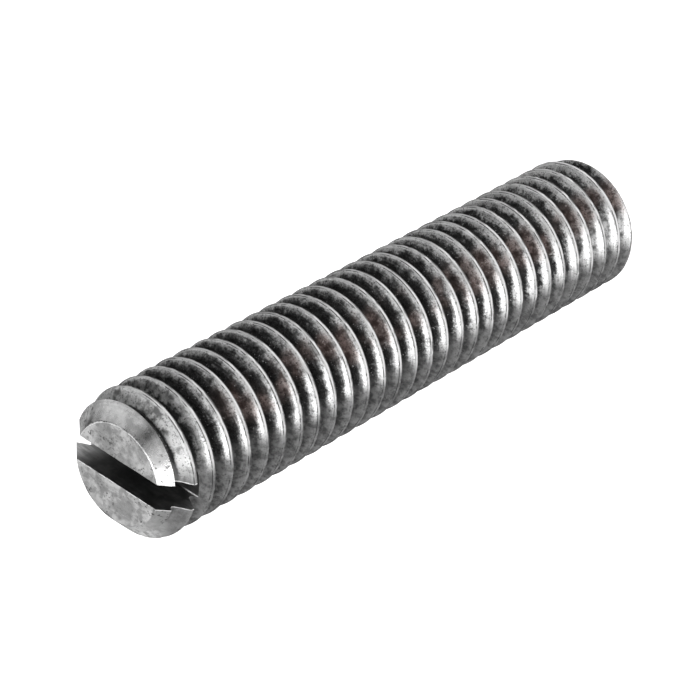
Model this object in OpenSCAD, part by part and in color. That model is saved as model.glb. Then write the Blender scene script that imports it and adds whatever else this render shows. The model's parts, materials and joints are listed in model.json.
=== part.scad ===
// Slotted grub screw (headless set screw): one solid piece of steel with a thread over its whole
// length, a chamfer at each end, a driver slot across one end and a flat point at the other.
// It stands on its flat point. The origin is the middle of that face and +Z runs along the axis
// towards the slot. All sizes are in millimetres.

/* [Body] */
// Length from the flat point to the slotted face
body_length = 30; // [20:1:36]
// Diameter over the thread crests
thread_d = 6; // [5:0.1:7.2]

/* [Thread] */
// Distance from one crest to the next along the axis
thread_pitch = 1; // [0.8:0.05:1.25]
// Hand of the thread: -1 is left-hand, 1 is right-hand
thread_hand = -1; // [-1, 1]
// Height of the nearest groove's middle above the flat point, on the slot's +X side
groove_start = 0.38; // [0:0.02:1]
// Straight pieces that each turn of the groove is made of
steps_per_turn = 32; // [24:4:32]

/* [Slotted end] */
// Diameter of the flat face that the slot crosses
slotted_face_d = 4.2; // [3.5:0.1:5]
// Width of the driver slot
slot_width = 1.1; // [0.9:0.02:1.4]
// Depth of the driver slot below the slotted face
slot_depth = 1.8; // [1.4:0.05:2.4]
// Distance of the slot's middle from the axis, along Y
slot_offset = 0.1; // [-0.16:0.02:0.16]

/* [Flat point] */
// Diameter of the flat face at the point
point_face_d = 4.2; // [3.2:0.1:4.8]

/* [Hidden] */

// Angle between each thread flank and the plane across the axis
flank_angle = 30;
// Angle between each end's chamfer and the axis
chamfer_angle = 45;
// Depth of the groove for each millimetre of pitch, from crest to root
depth_per_pitch = 0.6134;
// Width of the flat crest for each millimetre of pitch
crest_per_pitch = 0.125;
// How far the groove's cutter reaches past the crests, for each millimetre of pitch
cutter_reach_per_pitch = 0.06;
// How far cutters pass beyond the faces that they open
overcut = 1;
// Facets of the round surfaces
$fn = 96;

crest_r = thread_d / 2;
root_r = crest_r - depth_per_pitch * thread_pitch;
cutter_r = crest_r + cutter_reach_per_pitch * thread_pitch;
point_chamfer = (crest_r - point_face_d / 2) / tan(chamfer_angle);
slotted_chamfer = (crest_r - slotted_face_d / 2) / tan(chamfer_angle);

// Half the groove's width along the axis at radius r
function groove_half_width(r) =
    (1 - crest_per_pitch) * thread_pitch / 2 - (crest_r - r) * tan(flank_angle);

// The groove's section as [radius, height] corners, wound one way round
groove_section = [
    [root_r, -groove_half_width(root_r)],
    [cutter_r, -groove_half_width(cutter_r)],
    [cutter_r, groove_half_width(cutter_r)],
    [root_r, groove_half_width(root_r)],
];

// The groove starts a whole turn below the point and ends a whole turn above the slotted face
turns_below = 1 + ceil(groove_start / thread_pitch);
groove_turns = turns_below + 1 + ceil(body_length / thread_pitch);
groove_steps = groove_turns * steps_per_turn;

// One corner of the section, carried along the helix
function helix_point(corner, step) =
    let (
        turn = (step + 0.5) / steps_per_turn,
        angle = 360 * turn
    )
    [
        corner[0] * cos(angle),
        corner[0] * sin(angle),
        corner[1] + groove_start + thread_pitch * (turn - turns_below)
    ];

// Turned blank: a cylinder over the crests with a cone down to the flat face at each end
module blank() {
    rotate_extrude()
        polygon([
            [0, 0],
            [point_face_d / 2, 0],
            [crest_r, point_chamfer],
            [crest_r, body_length - slotted_chamfer],
            [slotted_face_d / 2, body_length],
            [0, body_length],
        ]);
}

// Cutter for a right-hand groove: the section swept along a helix
module right_hand_groove() {
    corners = len(groove_section);
    points = [
        for (step = [0:groove_steps], corner = groove_section) helix_point(corner, step)
    ];
    side_faces = [
        for (step = [0:groove_steps - 1], side = [0:corners - 1])
            let (
                a = step * corners + side,
                b = step * corners + (side + 1) % corners
            )
            each [[a, b, a + corners], [b, b + corners, a + corners]]
    ];
    first_end = [for (side = [corners - 1:-1:0]) side];
    last_end = [for (side = [0:corners - 1]) groove_steps * corners + side];
    polyhedron(points, concat(side_faces, [first_end, last_end]));
}

// The thread's groove, turned over for a left-hand thread
module thread_groove() {
    mirror([0, thread_hand < 0 ? 1 : 0, 0])
        right_hand_groove();
}

// The blank with its thread cut, before slotting
module threaded_blank() {
    difference() {
        blank();
        thread_groove();
    }
}

// Driver slot, cut straight across the slotted face
module driver_slot() {
    translate([-crest_r - overcut, slot_offset - slot_width / 2, body_length - slot_depth])
        cube([2 * (crest_r + overcut), slot_width, slot_depth + overcut]);
}

module set_screw() {
    color([0.62, 0.62, 0.63])
        difference() {
            threaded_blank();
            driver_slot();
        }
}

set_screw();
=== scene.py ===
# %% [markdown]
# A slotted grub screw, made from plain round steel: a thread rolled over its whole length, a
# chamfer turned on each end, and a slot sawn across one end for a flat screwdriver.
# The model in the frame already has the true size, so this first cell loads it. The length, the
# crest's radius and the slot's floor are taken from it. What it doesn't state, such as the pitch,
# is a named value below, and has to stay as the frame's solid has it.

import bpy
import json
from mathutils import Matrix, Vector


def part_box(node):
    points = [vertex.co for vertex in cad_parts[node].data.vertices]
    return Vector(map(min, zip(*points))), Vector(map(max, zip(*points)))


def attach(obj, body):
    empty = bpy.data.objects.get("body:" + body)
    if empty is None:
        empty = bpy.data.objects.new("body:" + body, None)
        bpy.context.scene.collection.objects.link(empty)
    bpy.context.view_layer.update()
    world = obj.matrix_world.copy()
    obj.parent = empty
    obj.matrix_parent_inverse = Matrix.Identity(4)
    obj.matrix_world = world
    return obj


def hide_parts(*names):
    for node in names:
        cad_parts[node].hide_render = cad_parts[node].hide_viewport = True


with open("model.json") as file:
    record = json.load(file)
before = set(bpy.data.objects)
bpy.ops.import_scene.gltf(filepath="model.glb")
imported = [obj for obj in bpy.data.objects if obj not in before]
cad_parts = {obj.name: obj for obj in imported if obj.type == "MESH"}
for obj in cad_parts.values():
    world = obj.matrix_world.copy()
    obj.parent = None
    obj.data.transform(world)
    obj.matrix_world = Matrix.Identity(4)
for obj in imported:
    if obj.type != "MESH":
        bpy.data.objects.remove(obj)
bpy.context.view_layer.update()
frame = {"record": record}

# %% [markdown]
# Blender works in metres, and a 6 mm screw in metres has sizes such as 0.003, where rounding
# errors and merge distances get awkward. So the screw is modelled in millimetres, and the finished
# mesh is scaled down once, at the end.

# %% Sizes, in millimetres
import json
import math
import random

import bmesh
import bpy
from mathutils import Matrix, Quaternion, Vector, kdtree, noise

MM = 0.001
WELD = 1e-4
low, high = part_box("set_screw")
mounts = {mount["name"]: mount for mount in frame["record"]["mounts"]}
length = (high.z - low.z) / MM
crest_r = mounts["thread"]["dims"]["r_mm"]
slot_floor = mounts["slot_floor"]["pos_m"][2] / MM
slot_middle = mounts["slot_floor"]["pos_m"][1] / MM
pitch = 1.0
print(f"length {length:.3f} mm, crest radius {crest_r:.3f} mm, slot floor at {slot_floor:.3f} mm")

# %% [markdown]
# Every round surface here is one outline turned about the screw's axis. A helper makes the outline
# as a chain of vertices and edges in the XZ plane, because bmesh.ops.spin turns exactly that. A
# corner of the chain is rounded by a vertex bevel: its offset is the length taken off each side.

# %% Helpers for outlines
AXIS = Vector((0, 0, 1))
CENTRE = Vector((0, 0, 0))


def outline(bm, points):
    """A chain of vertices and edges through (radius, height) points."""
    verts = [bm.verts.new((radius, 0, height)) for radius, height in points]
    edges = [bm.edges.new(pair) for pair in zip(verts, verts[1:])]
    return verts, edges


def vertex_near(bm, radius, height):
    """The chain's vertex that lies nearest to a place."""
    place = Vector((radius, 0, height))
    return min(bm.verts, key=lambda vert: (vert.co - place).length)


def round_corner(bm, place, offset, segments):
    """Rounds the corner of a chain at a (radius, height) place."""
    bmesh.ops.bevel(
        bm,
        geom=[vertex_near(bm, *place)],
        offset=offset,
        offset_type="OFFSET",
        segments=segments,
        profile=0.5,
        affect="VERTICES",
        material=-1,
    )


def closed_turning(bm, steps):
    """Turns the chain in bm one full turn into a closed skin."""
    bmesh.ops.spin(
        bm,
        geom=bm.verts[:] + bm.edges[:],
        cent=CENTRE,
        axis=AXIS,
        angle=math.tau,
        steps=steps,
        use_merge=True,
    )
    bmesh.ops.remove_doubles(bm, verts=bm.verts[:], dist=WELD)
    bmesh.ops.recalc_face_normals(bm, faces=bm.faces[:])


def as_object(bm, name, material):
    """Turns bm into an object of that name and material, and frees it."""
    mesh = bpy.data.meshes.new(name)
    bm.to_mesh(mesh)
    bm.free()
    mesh.materials.append(material)
    made = bpy.data.objects.new(name, mesh)
    bpy.context.scene.collection.objects.link(made)
    return made


# %% [markdown]
# The thread's section is the metric one: 60 degree flanks, a crest an eighth of a pitch wide and a
# rounded root. It is drawn for one pitch only, from the middle of one flank to the middle of the
# next, so that each turn of the helix starts where the last one ended and the two can be merged.
# Rolling leaves a fine seam along the crest, where the metal from both flanks meets. Its vertex is
# marked in a layer now, and the layer is carried along by the spin.

# %% The thread's section
flank_slope = math.tan(math.radians(30))
crest_width = pitch / 8
sharp_root_r = crest_r - (pitch - crest_width) / 2 / flank_slope
root_radius = 0.144 * pitch
upper_corner = 0.085
lower_corner = 0.022
seam_shift = -0.02
flank_middle_r = (sharp_root_r + root_radius + crest_r) / 2


def thread_section(bm):
    """One pitch of the thread, with the root first and the crest after it."""
    seam = bm.verts.layers.float.new("seam")
    crest_height = pitch / 2
    flank_drop = (crest_r - flank_middle_r) * flank_slope
    start = crest_height - pitch + crest_width / 2 + flank_drop
    root = (sharp_root_r, 0)
    crest_edges = [(crest_r, crest_height + side * crest_width / 2) for side in (-1, 1)]
    crest_seam = (crest_r, crest_height + seam_shift)
    verts, edges = outline(bm, [
        (flank_middle_r, start),
        root,
        crest_edges[0],
        crest_seam,
        crest_edges[1],
        (flank_middle_r, start + pitch),
    ])
    verts[3][seam] = 1.0
    bmesh.ops.subdivide_edges(bm, edges=[edges[1], edges[4]], cuts=2)
    round_corner(bm, root, root_radius / flank_slope, 7)
    for crest_edge, corner in zip(crest_edges, (lower_corner, upper_corner)):
        round_corner(bm, crest_edge, corner, 3)


section = bmesh.new()
thread_section(section)
print("thread section:", len(section.verts), "vertices for one pitch")

# %% [markdown]
# The thread could be made with a Screw modifier, but operators leave a mesh that can be worn
# afterwards. Spin turns the section in small steps and, with dvec, also lifts it a little at each
# step, which is exactly a helix. This screw's thread is left-handed, so its angle is negative.
# Spin works through the whole mesh at every step, so a helix of 33 turns would be slow: one turn is
# spun, and copies of it are stacked a pitch apart and merged. A plane at each end then cuts the
# helix off square, and the cuts are filled to close the rod.

# %% Sweep the thread
HAND = -1
steps_per_turn = 96
spare = 0.4
groove_start = 0.38
turns_below = 2
turn_weld = 5e-4
turns = math.ceil(length / pitch) + turns_below + 1


def sweep_thread(bm):
    """Turns the section into a helical skin along the whole rod."""
    start = AXIS * (groove_start - turns_below * pitch)
    bmesh.ops.translate(bm, verts=bm.verts[:], vec=start)
    bmesh.ops.spin(
        bm,
        geom=bm.verts[:] + bm.edges[:],
        cent=CENTRE,
        axis=AXIS,
        dvec=AXIS * (pitch / steps_per_turn),
        angle=HAND * math.tau,
        steps=steps_per_turn,
        use_merge=False,
    )
    one_turn = bm.verts[:] + bm.edges[:] + bm.faces[:]
    for turn in range(1, turns):
        copy = bmesh.ops.duplicate(bm, geom=one_turn)
        verts = [item for item in copy["geom"] if isinstance(item, bmesh.types.BMVert)]
        bmesh.ops.translate(bm, verts=verts, vec=AXIS * (turn * pitch))
    before = len(bm.verts)
    bmesh.ops.remove_doubles(bm, verts=bm.verts[:], dist=turn_weld)
    print("helix:", before, "vertices,", before - len(bm.verts), "merged between turns")


def cut_square(bm, height, side):
    """Cuts everything beyond a height away and fills the cut."""
    made = bmesh.ops.bisect_plane(
        bm,
        geom=bm.verts[:] + bm.edges[:] + bm.faces[:],
        dist=WELD / 10,
        plane_co=AXIS * height,
        plane_no=AXIS * side,
        clear_outer=True,
    )
    rim = [item for item in made["geom_cut"] if isinstance(item, bmesh.types.BMEdge)]
    bmesh.ops.edgeloop_fill(bm, edges=rim)


sweep_thread(section)
cut_square(section, -spare, -1)
cut_square(section, length + spare, 1)
bmesh.ops.recalc_face_normals(section, faces=section.faces[:])
open_edges = sum(not edge.is_manifold for edge in section.edges)
print("threaded rod:", len(section.faces), "faces,", open_edges, "open edges")

# %% [markdown]
# A rolled thread isn't perfect. Its surface waves a little, the seam along the crest is deep in
# places and closed in others, and the crests have been knocked in the drawer. Noise that depends
# only on the place gives the same wear on every run, and the knocks come from a seeded generator.
# A tree of the crest's vertices finds the few that each knock reaches.

# %% Wear on the thread
SEED = 31
wave_height = 0.006
wave_per_mm = 1.3
grain_height = 0.0035
grain_per_mm = 5.0
seam_depth = 0.03
seam_per_mm = 0.9
seam_least, seam_usual, seam_swing = 0.15, 0.7, 1.6
knocks = 90
knock_reach = (0.08, 0.24)
knock_depth = (0.012, 0.04)
crest_band = 0.12


def worn_radius(place):
    """How far the skin stands in or out at a place, in millimetres."""
    wave = noise.noise(place * wave_per_mm) * wave_height
    grain = noise.noise(place * grain_per_mm) * grain_height
    return wave + grain


def wear_thread(bm):
    """Waves, an uneven crest seam and small knocks on the crests."""
    seam = bm.verts.layers.float["seam"]
    for vert in bm.verts:
        outward = Vector((vert.co.x, vert.co.y, 0)).normalized()
        depth = worn_radius(vert.co)
        if vert[seam] > 0:
            opened = seam_usual + seam_swing * noise.noise(vert.co * seam_per_mm)
            depth -= seam_depth * max(seam_least, min(1.0, opened))
        vert.co += outward * min(depth, crest_r - vert.co.xy.length)


def knock_crests(bm):
    """Pushes small dents into the crests."""
    dice = random.Random(SEED)
    crest = [vert for vert in bm.verts if vert.co.xy.length > crest_r - crest_band]
    tree = kdtree.KDTree(len(crest))
    for index, vert in enumerate(crest):
        tree.insert(vert.co, index)
    tree.balance()
    for _ in range(knocks):
        middle = crest[dice.randrange(len(crest))].co.copy()
        reach = dice.uniform(*knock_reach)
        depth = dice.uniform(*knock_depth)
        for _, index, distance in tree.find_range(middle, reach):
            vert = crest[index]
            inward = -Vector((vert.co.x, vert.co.y, 0)).normalized()
            vert.co += inward * depth * (1 - distance / reach)


wear_thread(section)
knock_crests(section)
print("worn rod:", len(section.verts), "vertices,", knocks, "knocks")

# %% [markdown]
# The bar was cut to length and chamfered on a lathe. That turned shape is one outline spun about
# the axis: a flat point, its chamfer, a plain side that stands clear of the crests, the other
# chamfer and the slotted face. The tool has left a thin burr standing round the slotted face, so
# the outline rises to a small lip there, and the face itself lies a hair lower. Beside each corner
# the outline has an extra point: it keeps the smooth shading of the corner off the flat parts.

# %% Turn the blank
point_face_r = 2.1
slotted_face_r = 2.1
clear_of_crests = 0.3
lip_height = 0.022
lip_width = 0.05
lip_gaps_per_mm = 2.1
lip_nicks_per_mm = 9.0
lip_most_lost = 0.85
point_corner = 0.06
lip_corner = 0.012
support = 0.05
blank_steps = 192
side_r = crest_r + clear_of_crests


def turned_blank():
    """The bar with both ends turned, as a closed solid."""
    bm = bmesh.new()
    face_height = length - lip_height
    outline(bm, [
        (0, 0),
        (point_face_r - 2 * support, 0),
        (point_face_r, 0),
        (point_face_r + 2 * support, 2 * support),
        (side_r, side_r - point_face_r),
        (side_r, length - (side_r - slotted_face_r)),
        (slotted_face_r + support, length - support),
        (slotted_face_r, length),
        (slotted_face_r - lip_width, face_height),
        (slotted_face_r - lip_width - support, face_height),
        (0, face_height),
    ])
    round_corner(bm, (point_face_r, 0), point_corner, 3)
    round_corner(bm, (slotted_face_r, length), lip_corner, 3)
    closed_turning(bm, blank_steps)
    for vert in bm.verts:
        on_lip = abs(vert.co.xy.length - slotted_face_r) < lip_width and vert.co.z > face_height
        if on_lip:
            gaps = noise.noise(vert.co * lip_gaps_per_mm)
            nicks = 0.6 * noise.noise(vert.co * lip_nicks_per_mm)
            lost = max(0.0, min(lip_most_lost, 0.5 + gaps + nicks))
            vert.co.z -= (vert.co.z - face_height) * lost
    return bm


# %% [markdown]
# The slot is one pass of a slitting saw, so its cutter is a box. Its long sides are cut into short
# stretches that wander a little, and the lips of the slot then aren't ruler-straight.

# %% The slot's cutter
slot_width = 1.1
saw_past = 1.0
saw_wander = 0.012
wander_per_mm = 1.7
saw_chatter = 0.02
chatter_per_mm = 5.0
wall_cuts = 47


def slot_cutter():
    """A box as wide as the slot, from its floor to above the face."""
    bm = bmesh.new()
    bmesh.ops.create_cube(bm, size=1)
    height = length - slot_floor + saw_past
    across = 2 * (crest_r + saw_past)
    bmesh.ops.scale(bm, verts=bm.verts[:], vec=(across, slot_width, height))
    middle = (0, slot_middle, slot_floor + height / 2)
    bmesh.ops.translate(bm, verts=bm.verts[:], vec=middle)
    long_edges = [
        edge for edge in bm.edges
        if abs(edge.verts[0].co.x - edge.verts[1].co.x) > across / 2
    ]
    bmesh.ops.subdivide_edges(bm, edges=long_edges, cuts=wall_cuts)
    for vert in bm.verts:
        vert.co.y += noise.noise(vert.co * wander_per_mm) * saw_wander
        vert.co.y += noise.noise(vert.co * chatter_per_mm) * saw_chatter
    bmesh.ops.recalc_face_normals(bm, faces=bm.faces[:])
    return bm


# %% [markdown]
# All three finishes are the same bare steel, so they share one starting point: a metal shader, and
# a helper that adds a node and wires it up in one line. Object coordinates come in metres, so they
# are scaled up first, and a noise of 1 then gives one blotch to a millimetre.
# The last helpers say where a point lies on the screw: how far it is from the axis, how far above
# the middle of the nearest crest, from its height and its angle on the helix, how far from the
# slot's lip, whether it is dusty, which is partly a painted shade, and whether it is on an edge of
# the slot's open end, where the saw broke out and a glint is painted.

# %% Helpers for materials
def grey(value, red=0.0):
    """A grey, turned towards a reddish brown if wanted."""
    return (value * (1 + red), value * (1 - 0.1 * red), value * (1 - 0.35 * red), 1.0)


class Recipe:
    """A node material that is put together one node at a time."""

    def __init__(self, name):
        self.material = bpy.data.materials.new(name)
        self.material.use_nodes = True
        self.tree = self.material.node_tree
        self.shader = self.tree.nodes["Principled BSDF"]
        self.shader.inputs["Metallic"].default_value = 1.0
        metres = self.add("ShaderNodeTexCoord").outputs["Object"]
        scaled = self.add(
            "ShaderNodeVectorMath", {"operation": "SCALE"}, Vector=metres, Scale=1 / MM
        )
        self.place = scaled.outputs["Vector"]
        apart = self.add("ShaderNodeSeparateXYZ", Vector=self.place)
        self.x, self.y, self.z = apart.outputs

    def add(self, kind, settings=None, **inputs):
        """Adds a node; inputs are values or the sockets that feed them."""
        node = self.tree.nodes.new(kind)
        for name, value in (settings or {}).items():
            setattr(node, name, value)
        for name, value in inputs.items():
            self.feed(node.inputs[name.replace("_", " ")], value)
        return node

    def feed(self, socket, value):
        """Links a socket to another, or sets its value."""
        if isinstance(value, bpy.types.NodeSocket):
            self.tree.links.new(value, socket)
        else:
            socket.default_value = value

    def noise(self, per_mm, detail=3.0, roughness=0.55, place=None):
        """Blotches of noise, from 0 to 1."""
        made = self.add(
            "ShaderNodeTexNoise",
            Vector=place or self.place,
            Scale=per_mm,
            Detail=detail,
            Roughness=roughness,
        )
        return made.outputs["Fac"]

    def math(self, operation, *values):
        """A math node on up to three values or sockets."""
        node = self.add("ShaderNodeMath", {"operation": operation})
        for socket, value in zip(node.inputs, values):
            self.feed(socket, value)
        return node.outputs["Value"]

    def all_of(self, *shares):
        """Shares multiplied together, so that each can rule a place out."""
        total = shares[0]
        for share in shares[1:]:
            total = self.math("MULTIPLY", total, share)
        return total

    def fade(self, value, from_low, from_high, to_low=0.0, to_high=1.0):
        """Fades smoothly from one value to another as the input rises."""
        made = self.add(
            "ShaderNodeMapRange",
            {"interpolation_type": "SMOOTHSTEP"},
            Value=value,
            From_Min=from_low,
            From_Max=from_high,
            To_Min=to_low,
            To_Max=to_high,
        )
        return made.outputs["Result"]

    def mix(self, share, first, second):
        """A colour between two colours or sockets."""
        node = self.add("ShaderNodeMix", {"data_type": "RGBA"})
        self.feed(node.inputs["Factor"], share)
        self.feed(node.inputs[6], first)
        self.feed(node.inputs[7], second)
        return node.outputs[2]

    def blend(self, share, first, second):
        """A value between two values or sockets."""
        node = self.add("ShaderNodeMix")
        self.feed(node.inputs["Factor"], share)
        self.feed(node.inputs[2], first)
        self.feed(node.inputs[3], second)
        return node.outputs[0]

    def finish(self, **values):
        """Feeds the shader's own inputs."""
        for name, value in values.items():
            self.feed(self.shader.inputs[name.replace("_", " ")], value)

    def bump(self, height, strength, distance_mm):
        """Bump from a height socket, sent to the shader's normal."""
        made = self.add(
            "ShaderNodeBump", Height=height, Strength=strength, Distance=distance_mm * MM
        )
        self.finish(Normal=made.outputs["Normal"])

    def radius(self):
        """Distance from the screw's axis."""
        squares = [self.math("MULTIPLY", side, side) for side in (self.x, self.y)]
        return self.math("SQRT", self.math("ADD", *squares))

    def above_crest(self):
        """Height above the middle of the nearest crest, following the helix."""
        turned = self.math("DIVIDE", self.math("ARCTAN2", self.y, self.x), HAND * math.tau)
        turns_up = self.math("DIVIDE", self.math("SUBTRACT", self.z, groove_start), pitch)
        phase = self.math("WRAP", self.math("SUBTRACT", turns_up, turned), 1.0, 0.0)
        return self.math("MULTIPLY", self.math("SUBTRACT", phase, 0.5), pitch)

    def along_thread(self, radius, stretch):
        """A place whose noise is drawn out into streaks that run round the screw."""
        lifted = self.math("MULTIPLY_ADD", radius, stretch, self.z)
        return self.add("ShaderNodeCombineXYZ", X=self.x, Y=self.y, Z=lifted).outputs["Vector"]

    def dust_and_shade(self, climb=0.0):
        """Dull dust on the side that lay downwards: how much, and its colour.

        climb is how far it reaches up that side for each millimetre above the screw's middle.
        Its dark colour is partly a painted shade on that side. By the slotted end the colour is
        pale.
        """
        cloud = self.noise(0.55, detail=2.0)
        mottle = self.noise(3.2, detail=5.0, roughness=0.68)
        drift = self.math("MULTIPLY_ADD", cloud, 0.8, self.y)
        above_middle = self.math("MAXIMUM", self.math("SUBTRACT", self.z, length / 2), 0.0)
        drift = self.math("MULTIPLY_ADD", above_middle, -climb, drift)
        share = self.fade(drift, 0.25, 1.1, 0.9, 0.0)
        dust_shade_tone = self.mix(self.fade(mottle, 0.38, 0.6), grey(0.045), grey(0.19))
        pale_dust = self.mix(self.fade(mottle, 0.4, 0.6), grey(0.85), grey(0.4))
        by_end = self.all_of(
            self.fade(self.z, length - 2.0, length - 1.2),
            self.fade(self.x, 1.1, 2.5, 1.0, 0.1),
        )
        return share, self.mix(by_end, dust_shade_tone, pale_dust)

    def off_slot_lip(self):
        """Distance across the slot from its lip on the -Y side."""
        lip = slot_middle - slot_width / 2
        return self.math("ABSOLUTE", self.math("SUBTRACT", self.y, lip))

    # Where the saw broke out, a bright glint is painted on the burr.
    def saw_burr_glint(self, reach):
        """1 on the slot's edges where the saw broke out, on the +X side."""
        off_middle = self.math("ABSOLUTE", self.math("SUBTRACT", self.y, slot_middle))
        beyond = self.math("SUBTRACT", off_middle, slot_width / 2)
        tears = self.noise(5.0, detail=4.0, roughness=0.7)
        ragged = self.math("MULTIPLY_ADD", tears, reach, beyond)
        return self.all_of(
            self.fade(ragged, 0.8 * reach, 1.2 * reach, 1.0, 0.0),
            self.fade(self.x, slotted_face_r - 0.2, slotted_face_r),
            self.fade(self.z, slot_floor + 0.3, slot_floor + 0.4),
        )


# %% [markdown]
# The rolled thread is darker in its grooves, and its flanks turn lighter towards the crests. The
# upper half of each crest carries a painted highlight and the lower half a painted shade, and the
# crests and the flanks towards the point and on the lamps' side carry a painted sheen, partly worn
# steel. The distance from the axis tells the groove from the crest, and noise breaks up every line
# between them. Dull grey dust lies along one side, and there its dark colour is partly a painted
# shade. A dark hairline runs along each crest, where rolling has folded the metal over.

# %% Rolled steel
def rolled_steel():
    """Dark grooves, dusty flanks and bright crests."""
    steel = Recipe("rolled_steel")
    radius = steel.radius()
    above = steel.above_crest()
    blotch = steel.noise(2.4, detail=5.0, roughness=0.62)
    speck = steel.noise(9.0, detail=3.0, roughness=0.7)
    streak = steel.noise(1.0, detail=4.0, roughness=0.6, place=steel.along_thread(radius, 14.0))

    ragged = steel.math("MULTIPLY_ADD", steel.math("SUBTRACT", blotch, 0.5), 0.65, radius)
    ragged = steel.math("MULTIPLY_ADD", steel.math("SUBTRACT", speck, 0.5), 0.35, ragged)
    rubbed_above = steel.all_of(
        steel.fade(steel.z, length - 2.8, length - 1.2),
        steel.fade(above, 0.0, 0.06),
        steel.fade(above, 0.34, 0.46, 1.0, 0.0),
    )
    # On the lamps' side and towards the point the flanks get a painted sheen, besides wear.
    lamp_side = steel.fade(steel.y, 1.2, 2.2, 1.0, 0.0)
    far_end_sheen = steel.all_of(steel.fade(steel.z, 2.0, 7.0, 1.0, 0.0), lamp_side)
    rubbed_and_sheen = steel.math("MAXIMUM", rubbed_above, far_end_sheen)
    off_root = steel.fade(steel.math("MULTIPLY_ADD", rubbed_and_sheen, 0.3, ragged), 2.59, 2.83)
    by_point = steel.fade(steel.z, 4.0, 16.0, 1.0, 0.0)
    painted_sheen = steel.math("MULTIPLY", by_point, steel.blend(lamp_side, 0.08, 0.15))
    polish_and_sheen = steel.fade(steel.math("ADD", painted_sheen, ragged), 2.73, 2.97)
    # Darker towards the root of each groove.
    scale = steel.mix(steel.fade(speck, 0.4, 0.65), grey(0.022), grey(0.05))
    bare = steel.mix(steel.fade(streak, 0.38, 0.6), grey(0.1), grey(0.3))
    handled_and_sheen = steel.mix(steel.fade(blotch, 0.36, 0.56), grey(0.2), grey(0.8))
    bare = steel.mix(rubbed_and_sheen, bare, handled_and_sheen)
    shade = steel.mix(off_root, scale, bare)
    buffed_and_sheen = steel.mix(steel.fade(streak, 0.35, 0.6), grey(0.55), grey(0.9))
    shade = steel.mix(polish_and_sheen, shade, buffed_and_sheen)

    facing = steel.math("DIVIDE", steel.math("MULTIPLY_ADD", steel.y, 1.3, steel.x), radius)
    stain = steel.all_of(
        steel.fade(facing, 1.5, 1.63),
        steel.fade(steel.noise(0.45, detail=3.0), 0.42, 0.56),
        steel.fade(steel.z, length - 5.0, length - 3.0, 1.0, 0.0),
        steel.fade(radius, 2.8, 2.98, 1.0, 0.15),
    )
    stained = steel.mix(steel.fade(blotch, 0.38, 0.6), grey(0.06, 0.35), grey(0.32, 0.2))
    shade = steel.mix(steel.math("MULTIPLY", stain, 0.8), shade, stained)

    grit = steel.noise(14.0, detail=2.0, roughness=0.6)
    dark_grit = steel.all_of(steel.fade(grit, 0.36, 0.42, 1.0, 0.0), steel.fade(blotch, 0.4, 0.5))
    pale_grit = steel.all_of(steel.fade(grit, 0.65, 0.69), steel.fade(blotch, 0.44, 0.54))
    shade = steel.mix(steel.math("MULTIPLY", dark_grit, 0.75), shade, grey(0.02))
    shade = steel.mix(pale_grit, shade, grey(0.62))

    # A painted highlight on the upper half of each crest's top.
    crest_highlight = steel.all_of(
        steel.fade(steel.math("MULTIPLY_ADD", speck, 0.05, radius), 2.965, 3.0),
        steel.fade(above, -0.04, 0.005),
    )
    shade = steel.mix(crest_highlight, shade, grey(0.7))
    # A painted shade on the lower half of each crest, which faces away from the lamps.
    crest_far_shade = steel.all_of(
        steel.fade(above, -0.05, 0.0, 1.0, 0.0),
        steel.fade(radius, 2.9, 2.96),
    )
    shade = steel.mix(crest_far_shade, shade, grey(0.07))

    # Dust on the side that lay downwards; its dark colour is partly a painted shade.
    dust_shade_share, dust_shade_tone = steel.dust_and_shade(climb=0.05)
    shade = steel.mix(dust_shade_share, shade, dust_shade_tone)

    fold_middle = steel.math("SUBTRACT", above, 0.07)
    fold_line = steel.fade(steel.math("ABSOLUTE", fold_middle), 0.005, 0.018, 1.0, 0.0)
    fold = steel.all_of(
        fold_line,
        steel.fade(radius, 2.85, 2.92),
        steel.fade(steel.noise(1.3, detail=5.0, roughness=0.75), 0.46, 0.54),
    )
    # A painted glint on the saw's burr by the slot's open end.
    shade = steel.mix(steel.saw_burr_glint(0.07), shade, grey(0.85))
    shade = steel.mix(fold, shade, grey(0.02))
    matte = steel.math("MAXIMUM", dust_shade_share, steel.math("MULTIPLY", rubbed_above, 0.7))
    dull = steel.math("MAXIMUM", matte, steel.math("MULTIPLY", polish_and_sheen, 0.8))
    steel.finish(
        Base_Color=shade,
        Metallic=steel.fade(dull, 0.0, 1.0, 0.6, 0.2),
        Roughness=steel.blend(matte, steel.math("MULTIPLY_ADD", blotch, 0.25, 0.1), 0.6),
    )
    steel.bump(steel.math("MULTIPLY_ADD", streak, 0.8, speck), 0.8, 0.006)
    return steel.material
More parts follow.
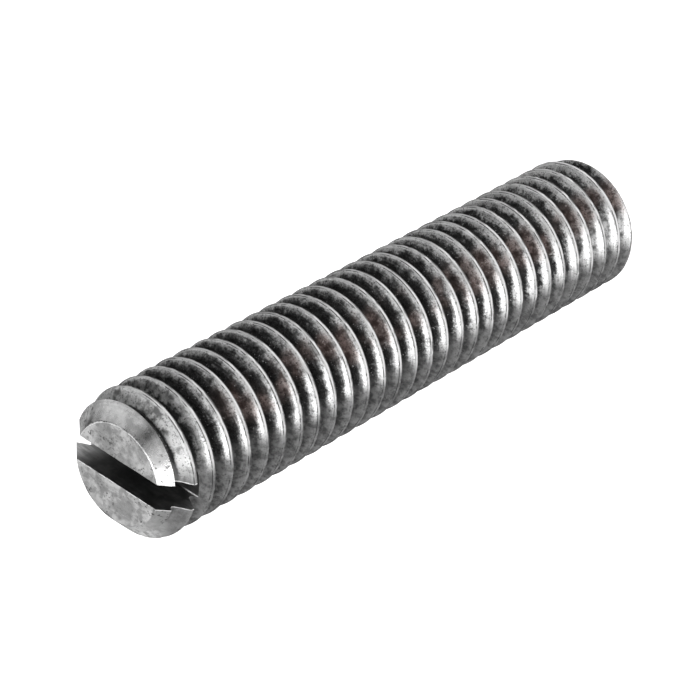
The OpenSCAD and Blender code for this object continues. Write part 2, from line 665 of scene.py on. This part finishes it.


# %% [markdown]
# The end face and the chamfers were cut on a lathe, so they are lighter and satin. The chamfer is
# smooth, with faint streaks that run round it and a few darker patches. The face is mottled, with
# irregular pits that come in crowds, so a slow noise decides where a fast noise may make one. A thin
# burr stands on the edge between the two and along one lip of the slot, and a bright glint is
# painted along it. On the chamfer's side that lay downwards, dust is partly a painted shade.

# %% Turned steel
def turned_steel():
    """A satin turned face and chamfer, with pits and a bright burr."""
    steel = Recipe("turned_steel")
    radius = steel.radius()
    cloud = steel.noise(0.8, detail=6.0, roughness=0.62)
    patch = steel.noise(2.6, detail=4.0, roughness=0.6)
    speck = steel.noise(9.0, detail=2.0, roughness=0.6)
    hoop = steel.add("ShaderNodeCombineXYZ", X=radius).outputs["Vector"]
    streak = steel.noise(9.0, detail=3.0, place=hoop)
    on_chamfer = steel.fade(radius, slotted_face_r - 0.01, slotted_face_r + 0.02)

    drawn = steel.add("ShaderNodeMapping", Vector=steel.place, Scale=(0.5, 5.0, 1.0))
    scratch = steel.noise(3.0, detail=3.0, roughness=0.7, place=drawn.outputs["Vector"])
    face = steel.mix(steel.fade(cloud, 0.4, 0.6), grey(0.3), grey(0.56))
    face = steel.mix(steel.fade(patch, 0.46, 0.64, 0.0, 0.7), face, grey(0.24))
    face = steel.mix(steel.fade(scratch, 0.56, 0.72, 0.0, 0.5), face, grey(0.62))
    cone = steel.mix(steel.fade(streak, 0.3, 0.7), grey(0.58), grey(0.68))
    worn_side = steel.fade(steel.x, 0.4, 1.6)
    above_white = steel.fade(steel.y, 0.9, 1.5)
    patches = steel.all_of(steel.fade(patch, 0.46, 0.62, 0.0, 0.4), worn_side, above_white)
    cone = steel.mix(patches, cone, grey(0.24))
    by_slot = steel.math("ABSOLUTE", steel.math("SUBTRACT", steel.y, slot_middle))
    crowding = steel.math("MULTIPLY_ADD", by_slot, -0.06, steel.noise(1.1, detail=2.0))
    pits = steel.all_of(
        steel.fade(crowding, 0.4, 0.5),
        steel.fade(speck, 0.36, 0.42, 1.0, 0.0),
    )
    # Dust on the chamfer's lower side, partly a painted shade.
    dust_shade_share, dust_shade_tone = steel.dust_and_shade()
    smudge = steel.fade(steel.x, -2.1, -1.5, 1.0, 0.0)
    dust_shade_share = steel.all_of(steel.math("MAXIMUM", dust_shade_share, smudge), on_chamfer, 0.8)
    cone = steel.mix(dust_shade_share, cone, dust_shade_tone)
    shade = steel.mix(on_chamfer, face, cone)
    shade = steel.mix(steel.math("MULTIPLY", pits, 0.8), shade, grey(0.05))

    off_edge = steel.math("ABSOLUTE", steel.math("SUBTRACT", radius, slotted_face_r))
    # A painted glint along the burr on the face's edge and along the slot's lip.
    burr_glint = steel.all_of(
        steel.fade(off_edge, 0.02, 0.04, 1.0, 0.0),
        steel.fade(steel.noise(1.5, detail=4.0, roughness=0.7), 0.4, 0.55, 0.2, 1.0),
        steel.fade(steel.y, slot_middle, slot_middle + 0.5),
    )
    lip = steel.all_of(
        steel.fade(steel.off_slot_lip(), 0.03, 0.06, 1.0, 0.0),
        steel.fade(steel.noise(1.7, detail=4.0, roughness=0.7), 0.44, 0.52),
    )
    burr_glint = steel.math("MAXIMUM", burr_glint, lip)
    bright = steel.math("MAXIMUM", burr_glint, steel.saw_burr_glint(0.07))
    steel.finish(
        Base_Color=steel.mix(bright, shade, grey(0.92)),
        Metallic=steel.fade(steel.math("MAXIMUM", bright, dust_shade_share), 0.0, 1.0, 1.0, 0.2),
        Roughness=steel.blend(dust_shade_share, steel.fade(patch, 0.3, 0.7, 0.2, 0.32), 0.6),
    )
    height = steel.math("MULTIPLY_ADD", streak, 0.25, patch)
    steel.bump(steel.math("MULTIPLY_ADD", pits, -0.8, height), 0.4, 0.006)
    return steel.material


# %% [markdown]
# The slot's walls are rough from the saw, so they are dark and dull. Towards the open end on the -X
# side they are painted lighter, as light falls in there: painted light. A painted glint runs along
# the corner of the floor on the other side.

# %% Sawn steel
def sawn_steel():
    """Dark sawn walls with marks along the slot."""
    steel = Recipe("sawn_steel")
    stretch = steel.add("ShaderNodeMapping", Vector=steel.place, Scale=(0.15, 1.0, 1.0))
    marks = steel.noise(9.0, detail=4.0, place=stretch.outputs["Vector"])
    dirt = steel.noise(1.6, detail=3.0)
    off_floor = steel.math("ABSOLUTE", steel.math("SUBTRACT", steel.z, slot_floor))
    # A painted glint along the corner of the slot's floor.
    corner = steel.all_of(
        steel.fade(steel.off_slot_lip(), 0.02, 0.05, 1.0, 0.0),
        steel.fade(off_floor, 0.02, 0.05, 1.0, 0.0),
        steel.fade(steel.x, 1.6, 2.2),
    )
    tone = steel.mix(steel.fade(dirt, 0.4, 0.65), grey(0.14), grey(0.3))
    tone = steel.mix(marks, grey(0.09), tone)
    # Painted light towards the slot's open end on the -X side.
    open_end_light = steel.fade(steel.math("MULTIPLY_ADD", dirt, 0.6, steel.x), -2.3, -0.95, 1.0, 0.0)
    open_end_lit_tone = steel.mix(steel.fade(marks, 0.35, 0.65), grey(0.4), grey(0.68))
    tone = steel.mix(open_end_light, tone, open_end_lit_tone)
    steel.finish(
        Base_Color=steel.mix(corner, tone, grey(0.95)),
        Metallic=steel.math("SUBTRACT", 1.0, steel.math("MAXIMUM", corner, open_end_light)),
        Roughness=steel.fade(marks, 0.3, 0.7, 0.4, 0.6),
    )
    steel.bump(marks, 0.5, 0.01)
    return steel.material


# %% [markdown]
# Two Boolean modifiers now do what the lathe and the saw did: the rod is kept only where the turned
# blank is too, and the slot's box is taken away. With the materials transferred, each new surface
# keeps the finish of the tool that cut it. The result is read back as one plain mesh.

# %% Cut the screw
def cut(body, tool, operation):
    """Adds one Boolean to body, with tool as the cutter."""
    step = body.modifiers.new(tool.name, "BOOLEAN")
    step.operation = operation
    step.solver = "EXACT"
    step.material_mode = "TRANSFER"
    step.object = tool


rod = as_object(section, "threaded_rod", rolled_steel())
blank = as_object(turned_blank(), "blank", turned_steel())
saw = as_object(slot_cutter(), "saw", sawn_steel())
cut(rod, blank, "INTERSECT")
cut(rod, saw, "DIFFERENCE")
depsgraph = bpy.context.evaluated_depsgraph_get()
cut_mesh = bpy.data.meshes.new_from_object(rod.evaluated_get(depsgraph), depsgraph=depsgraph)
print("cut screw:", len(cut_mesh.polygons), "faces,", len(cut_mesh.materials), "materials")
for helper in (rod, blank, saw):
    bpy.data.objects.remove(helper)

# %% [markdown]
# Round surfaces shade smoothly, but an edge that a tool left has to stay crisp. So every face is
# smooth, and an edge is marked sharp where its two faces meet at more than 35 degrees or were made
# by different tools. Then the mesh is scaled to metres and becomes the finished piece, which stands
# for the frame's solid.

# %% Finish the screw
sharp_angle = math.radians(35)
finished = bmesh.new()
finished.from_mesh(cut_mesh)
bmesh.ops.remove_doubles(finished, verts=finished.verts[:], dist=WELD)
bmesh.ops.dissolve_degenerate(finished, edges=finished.edges[:], dist=WELD)
bmesh.ops.scale(finished, verts=finished.verts[:], vec=(MM, MM, MM))
for face in finished.faces:
    face.smooth = True
for edge in finished.edges:
    finishes = {face.material_index for face in edge.link_faces}
    edge.smooth = edge.calc_face_angle(0) < sharp_angle and len(finishes) == 1
open_edges = sum(not edge.is_manifold for edge in finished.edges)
finished.to_mesh(cut_mesh)
finished.free()
screw = bpy.data.objects.new("grub_screw", cut_mesh)
bpy.context.scene.collection.objects.link(screw)
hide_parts("set_screw")
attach(screw, "root")
triangles = sum(len(face.vertices) - 2 for face in cut_mesh.polygons)
print("grub screw:", triangles, "triangles,", open_edges, "open edges")

# %% [markdown]
# The screw stands on its flat point on a plain white table, as on a light box: the table glows by
# itself, so the shadows of the lamps on it are too pale to see.

# %% Table
TABLE_SIZE = 4.0


def table():
    """A large flat sheet just under the flat point."""
    bm = bmesh.new()
    bmesh.ops.create_grid(bm, x_segments=1, y_segments=1, size=TABLE_SIZE / 2)
    paint = Recipe("white_table")
    paint.finish(
        Metallic=0.0,
        Base_Color=grey(0.8),
        Roughness=0.6,
        Emission_Color=grey(1.0),
        Emission_Strength=1.0,
    )
    return as_object(bm, "table", paint.material)


table()

# %% [markdown]
# The crests mirror the table. On the side that turns away from the camera they are to be dark, so a
# black card lies on the table there. It shows only in reflections.

# %% Black card
CARD_NEAR = 0.005
CARD_FAR = 1.5
CARD_START = 112
CARD_SPREAD = 204
CARD_HEIGHT = 0.0004


def black_card():
    """A black sheet on the table, cut as a ring's sector round the screw's foot."""
    bm = bmesh.new()
    ends = [bm.verts.new((reach, 0, CARD_HEIGHT)) for reach in (CARD_NEAR, CARD_FAR)]
    bm.edges.new(ends)
    turn = Matrix.Rotation(math.radians(CARD_START), 3, AXIS)
    bmesh.ops.rotate(bm, verts=bm.verts[:], cent=CENTRE, matrix=turn)
    bmesh.ops.spin(
        bm,
        geom=bm.verts[:] + bm.edges[:],
        cent=CENTRE,
        axis=AXIS,
        angle=math.radians(CARD_SPREAD),
        steps=24,
        use_merge=False,
    )
    felt = Recipe("black_card")
    felt.finish(Metallic=0.0, Base_Color=grey(0.01), Roughness=0.9)
    card = as_object(bm, "black_card", felt.material)
    card.visible_camera = False
    card.visible_shadow = False
    card.visible_diffuse = False
    return card


black_card()

# %% [markdown]
# Bare metal shows little but reflections, so the lamps are placed by what each surface mirrors
# towards the camera. A lamp's direction is given as seen from the screw: 0 degrees is +X, along
# the slot, 90 degrees is +Y, and the height is above the table. Two bright softboxes on the +X side
# light the flanks and the chamfer there. Six dim ones light the slotted face, the rest of the
# chamfer and the flanks that turn away. The room between them stays dark, and so do the grooves,
# which mirror it.

# %% Lamps
SCREW_MIDDLE = Vector((0, 0, (low.z + high.z) / 2))
LAMP_DISTANCE = 0.3


def direction(azimuth, height):
    """The direction from the screw to a lamp or the camera, from angles in degrees."""
    across, up = math.radians(azimuth), math.radians(height)
    return Vector((
        math.cos(across) * math.cos(up), math.sin(across) * math.cos(up), math.sin(up)
    ))


def facing(towards, roll):
    """The rotation of a lamp or camera that looks back along a direction, rolled in degrees."""
    return towards.to_track_quat("Z", "Y") @ Quaternion(AXIS, math.radians(roll))


def softbox(name, azimuth, height, width, tall, brightness, roll=0):
    """A rectangular lamp aimed at the screw; width and tall are the angles that it fills."""
    towards = direction(azimuth, height)
    lamp = bpy.data.lights.new(name, "AREA")
    lamp.shape = "RECTANGLE"
    lamp.size = 2 * LAMP_DISTANCE * math.tan(math.radians(width / 2))
    lamp.size_y = 2 * LAMP_DISTANCE * math.tan(math.radians(tall / 2))
    lamp.energy = 4 * lamp.size * lamp.size_y * brightness
    holder = bpy.data.objects.new(name, lamp)
    holder.location = SCREW_MIDDLE + towards * LAMP_DISTANCE
    holder.rotation_euler = facing(towards, roll).to_euler()
    holder.visible_camera = False
    bpy.context.scene.collection.objects.link(holder)


softbox("flank_light", azimuth=-4, height=71, width=28, tall=20, brightness=5.0, roll=36)
softbox("chamfer_light", azimuth=-5, height=45, width=26, tall=9, brightness=5.0, roll=18)
softbox("edge_light", azimuth=40, height=52, width=44, tall=10, brightness=0.75)
softbox("face_light", azimuth=228, height=43, width=40, tall=36, brightness=0.8)
softbox("strip_light", azimuth=158.7, height=23.5, width=110, tall=10, brightness=0.82, roll=-39.5)
softbox("sky_light", azimuth=78, height=74, width=44, tall=20, brightness=0.75)
softbox("corner_light", azimuth=50, height=16, width=90, tall=30, brightness=0.6)
softbox("away_light", azimuth=-68, height=24, width=62, tall=46, brightness=0.32)

world = bpy.data.worlds.new("dim_room")
bpy.context.scene.world = world
world.use_nodes = True
world.node_tree.nodes["Background"].inputs["Color"].default_value = grey(0.03)

# %% [markdown]
# The camera looks down at the slotted end from the +X +Y side and is rolled, so that the screw
# runs from the lower left of the view to the upper right. It is placed as the lamps are, by a
# direction and a roll, and it looks at a point close to the screw's middle. It stands less than
# 12 cm away, so its near clipping distance is small. Plain display colours keep the whites white
# and the darks dark.

# %% Camera
CAMERA_DISTANCE = 0.1156
CAMERA_ROLL = -118.83
AIM = Vector((0.0001, -0.00009, 0.01656))

towards_camera = direction(azimuth=48.45, height=42.72)
camera = bpy.data.objects.new("camera", bpy.data.cameras.new("camera"))
camera.data.lens = 146.76
camera.data.clip_start = 0.01
camera.matrix_world = Matrix.LocRotScale(
    AIM + towards_camera * CAMERA_DISTANCE, facing(towards_camera, CAMERA_ROLL), None
)
bpy.context.scene.collection.objects.link(camera)
bpy.context.scene.camera = camera
bpy.context.scene.view_settings.view_transform = "Standard"
